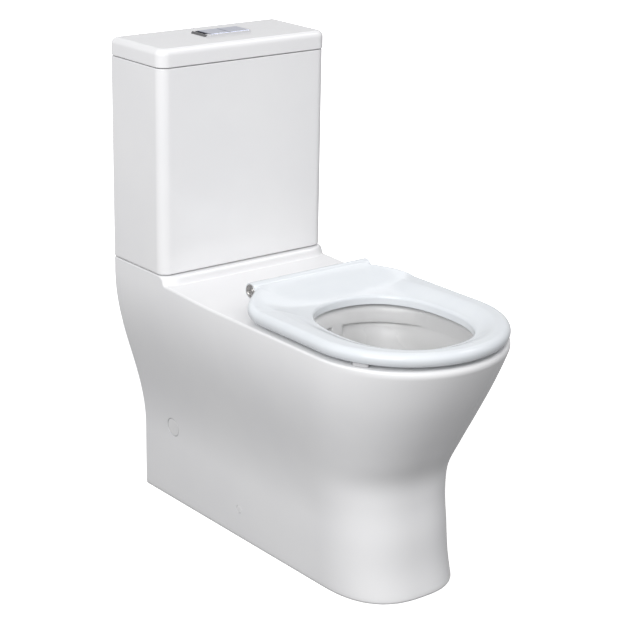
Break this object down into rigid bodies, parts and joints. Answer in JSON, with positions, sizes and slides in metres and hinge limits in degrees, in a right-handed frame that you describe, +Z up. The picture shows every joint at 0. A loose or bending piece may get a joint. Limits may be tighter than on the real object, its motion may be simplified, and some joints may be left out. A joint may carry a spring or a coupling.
{
  "type": "back to wall toilet",
  "caption": "Close-coupled back-to-wall toilet in white china with a skirted pan, a square cistern with push-button plate and a single hinged ring seat.",
  "frame": {"origin": "on the floor, under the middle of the toilet's box: on the centreline, halfway between the wall and the front of the seat", "axes": "+Z up; -Y to the front, away from the wall; +X to the right of someone who faces the wall; the wall is the plane y = 0.3985"},
  "size_m": [0.37, 0.797, 0.8935],
  "materials": {
    "china": "glossy vitreous glaze",
    "seat_white": "polished moulded plastic, slightly blue white",
    "chrome": "bright chrome",
    "steel": "turned stainless steel",
    "zinc": "zinc plated sheet steel",
    "brass": "plain brass",
    "rubber": "black rubber",
    "buffer": "grey translucent buffer",
    "valve_white": "moulded plastic",
    "valve_blue": "coloured moulded plastic",
    "valve_grey": "grey moulded plastic",
    "nut_dark": "dark moulded plastic",
    "cap_white": "white moulded cap"
  },
  "bodies": {
    "pan_and_cistern": {"pan": "china", "pan_bowl": "china", "pan_trap": "china", "cistern": "china", "hinge_rod": "steel", "hinge_pillar_1": "steel", "hinge_pillar_2": "steel", "hinge_stud_1": "steel", "hinge_stud_2": "steel", "hinge_nut_1": "nut_dark", "hinge_nut_2": "nut_dark", "floor_bracket_1": "zinc", "floor_bracket_2": "zinc", "pan_screw_1": "steel", "pan_screw_2": "steel", "screw_cap_1": "cap_white", "screw_cap_2": "cap_white", "port_cap_1": "cap_white", "port_cap_2": "cap_white", "coupling_bolt_1": "brass", "coupling_bolt_2": "brass", "coupling_washer_1": "rubber", "coupling_washer_2": "rubber", "coupling_nut_1": "brass", "coupling_nut_2": "brass", "doughnut_seal": "rubber", "valve_body": "valve_white", "valve_nut": "valve_white", "valve_washer": "rubber", "valve_tower": "valve_white", "lever_pin": "steel", "fill_body": "valve_white", "fill_nut": "valve_white", "fill_washer": "rubber", "fill_head": "valve_white", "float_arm_pin": "steel"},
    "seat_ring": {"seat": "seat_white", "hinge_cap_1": "steel", "hinge_cap_2": "steel", "seat_buffer_1": "buffer", "seat_buffer_2": "buffer", "seat_buffer_3": "buffer", "seat_buffer_4": "buffer"},
    "lid": {"cistern_lid": "china", "button_bezel": "chrome", "button_nut": "valve_white"},
    "full_flush": {"full_button": "chrome", "full_rod": "valve_white"},
    "half_flush": {"half_button": "chrome", "half_rod": "valve_white"},
    "full_lever_body": {"full_lever": "valve_blue"},
    "half_lever_body": {"half_lever": "valve_blue"},
    "piston": {"valve_piston": "valve_white", "valve_seal": "rubber"},
    "float": {"float_cup": "valve_grey", "float_rod": "valve_blue"},
    "float_lever": {"float_arm": "valve_blue"}
  },
  "joints": [
    {"name": "seat_hinge", "type": "hinge", "parent": "pan_and_cistern", "child": "seat_ring", "pos_m": [0, 0.0375, 0.492], "axis": [-1, 0, 0], "range_deg": [0, 105]},
    {"name": "lid_lift", "type": "slide", "parent": "pan_and_cistern", "child": "lid", "axis": [0, 0, 1], "range_m": [0, 0.08]},
    {"name": "full_press", "type": "slide", "parent": "lid", "child": "full_flush", "axis": [0, 0, -1], "range_m": [0, 0.004], "stiffness_N_per_m": 250, "springref_m": -0.004},
    {"name": "half_press", "type": "slide", "parent": "lid", "child": "half_flush", "axis": [0, 0, -1], "range_m": [0, 0.004], "stiffness_N_per_m": 250, "springref_m": -0.004},
    {"name": "full_lever_turn", "type": "hinge", "parent": "pan_and_cistern", "child": "full_lever_body", "pos_m": [-0.006, 0.3035, 0.8], "axis": [0, -1, 0], "range_deg": [0, 14.5]},
    {"name": "half_lever_turn", "type": "hinge", "parent": "pan_and_cistern", "child": "half_lever_body", "pos_m": [-0.006, 0.2945, 0.8], "axis": [0, 1, 0], "range_deg": [0, 16.5]},
    {"name": "piston_lift", "type": "slide", "parent": "pan_and_cistern", "child": "piston", "axis": [0, 0, 1], "range_m": [0, 0.005]},
    {"name": "float_rise", "type": "slide", "parent": "pan_and_cistern", "child": "float", "axis": [0, 0, 1], "range_m": [0, 0.015]},
    {"name": "float_arm_turn", "type": "hinge", "parent": "pan_and_cistern", "child": "float_lever", "pos_m": [0.144, 0.3235, 0.769], "axis": [0, 1, 0], "range_deg": [0, 17.3]}
  ],
  "couplings": [
    {"joint": "full_lever_turn", "follows": "full_press", "rad_per_m": 62.5},
    {"joint": "piston_lift", "follows": "full_press", "ratio": 1.1875},
    {"joint": "half_lever_turn", "follows": "half_press", "rad_per_m": 71.428},
    {"joint": "float_arm_turn", "follows": "float_rise", "rad_per_m": 20}
  ]
}
